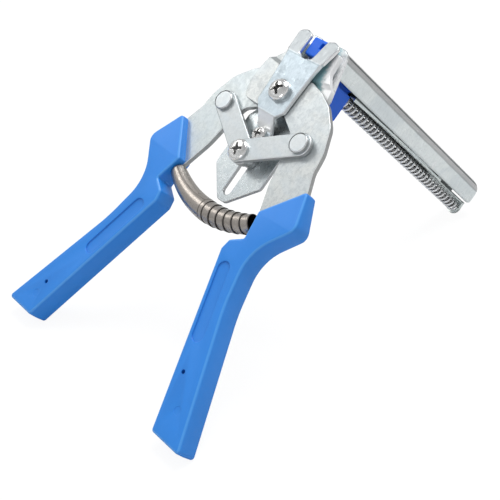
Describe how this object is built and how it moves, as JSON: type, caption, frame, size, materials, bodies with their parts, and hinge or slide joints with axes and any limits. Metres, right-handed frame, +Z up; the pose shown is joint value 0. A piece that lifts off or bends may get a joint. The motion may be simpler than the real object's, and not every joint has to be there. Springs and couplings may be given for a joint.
{
  "type": "magazine clip pliers",
  "caption": "Hand pliers with two crossed levers, linked slider and a sprung magazine that feeds wire clips between two jaw prongs.",
  "frame": {"origin": "floor level under the middle of the tool, which stands on both grip ends and the lug at the tail of the magazine", "axes": "+Z up, +Y from the grips toward the magazine's tail, +X to the tool's right seen from its front face; front face leans up and toward -Y by the lean angle"},
  "size_m": [0.1484, 0.2495, 0.135],
  "materials": {
    "zinc_plate": "zinc plated sheet, lightly brushed, faint blue tint",
    "zinc_channel": "zinc plated folded sheet, drawn lines along its length",
    "lever_steel": "zinc plated stamped plate, mottled satin",
    "link_steel": "zinc plated stamped bar, satin",
    "turned_steel": "turned steel",
    "rivet_steel": "zinc plated rivet, flat satin head",
    "nickel": "bright nickel plated",
    "bright_wire": "drawn wire",
    "spring_wire": "dark oiled spring wire with bright crests",
    "band_steel": "blued-brown spring band, satin",
    "grip_blue": "semi-matt moulded plastic, azure",
    "pusher_blue": "moulded plastic, deep blue"
  },
  "bodies": {
    "frame": {"front_jaw_plate": "zinc_plate", "rear_plate": "zinc_plate", "magazine_channel": "zinc_channel", "magazine_rail": "zinc_channel", "magazine_rod": "bright_wire", "pivot_screw": "nickel", "pivot_bush": "turned_steel", "pivot_nut": "nickel", "tail_screw": "nickel", "tail_spacer": "turned_steel", "tail_nut": "nickel", "magazine_spring": "spring_wire", "volute_spring": "band_steel"},
    "left_lever": {"left_lever": "lever_steel", "left_grip": "grip_blue", "left_rivet": "rivet_steel"},
    "right_lever": {"right_lever": "lever_steel", "right_grip": "grip_blue", "right_rivet": "rivet_steel"},
    "left_link": {"left_link": "link_steel", "slider_screw": "nickel", "slider_bush": "turned_steel", "slider_washer": "turned_steel", "link_washer": "turned_steel", "slider_nut": "nickel"},
    "right_link": {"right_link": "link_steel"},
    "pusher": {"pusher": "pusher_blue"}
  },
  "joints": [
    {"name": "left_lever_hinge", "type": "hinge", "parent": "frame", "child": "left_lever", "pos_m": [0, -0.00339, 0.10815], "axis": [0, -0.6785, 0.7346], "range_deg": [0, 14], "stiffness_Nm_per_rad": 0.6, "springref_deg": -20.05, "deforming": ["volute_spring"]},
    {"name": "right_lever_hinge", "type": "hinge", "parent": "frame", "child": "right_lever", "pos_m": [0, -0.00339, 0.10815], "axis": [0, 0.6785, -0.7346], "range_deg": [0, 14]},
    {"name": "left_link_hinge", "type": "hinge", "parent": "left_lever", "child": "left_link", "pos_m": [-0.02956, -0.01573, 0.09676], "axis": [0, 0.6785, -0.7346], "range_deg": [0, 28]},
    {"name": "right_link_hinge", "type": "hinge", "parent": "right_lever", "child": "right_link", "pos_m": [0.02956, -0.01573, 0.09676], "axis": [0, -0.6785, 0.7346], "range_deg": [0, 28]},
    {"name": "pusher_slide", "type": "slide", "parent": "frame", "child": "pusher", "axis": [0, 0.6785, -0.7346], "range_m": [0, 0.085], "stiffness_N_per_m": 60, "springref_m": -0.03, "deforming": ["magazine_spring"]}
  ],
  "couplings": [
    {"joint": "right_lever_hinge", "follows": "left_lever_hinge", "ratio": 1},
    {"joint": "left_link_hinge", "follows": "left_lever_hinge", "ratio": 2},
    {"joint": "right_link_hinge", "follows": "left_lever_hinge", "ratio": 2}
  ]
}
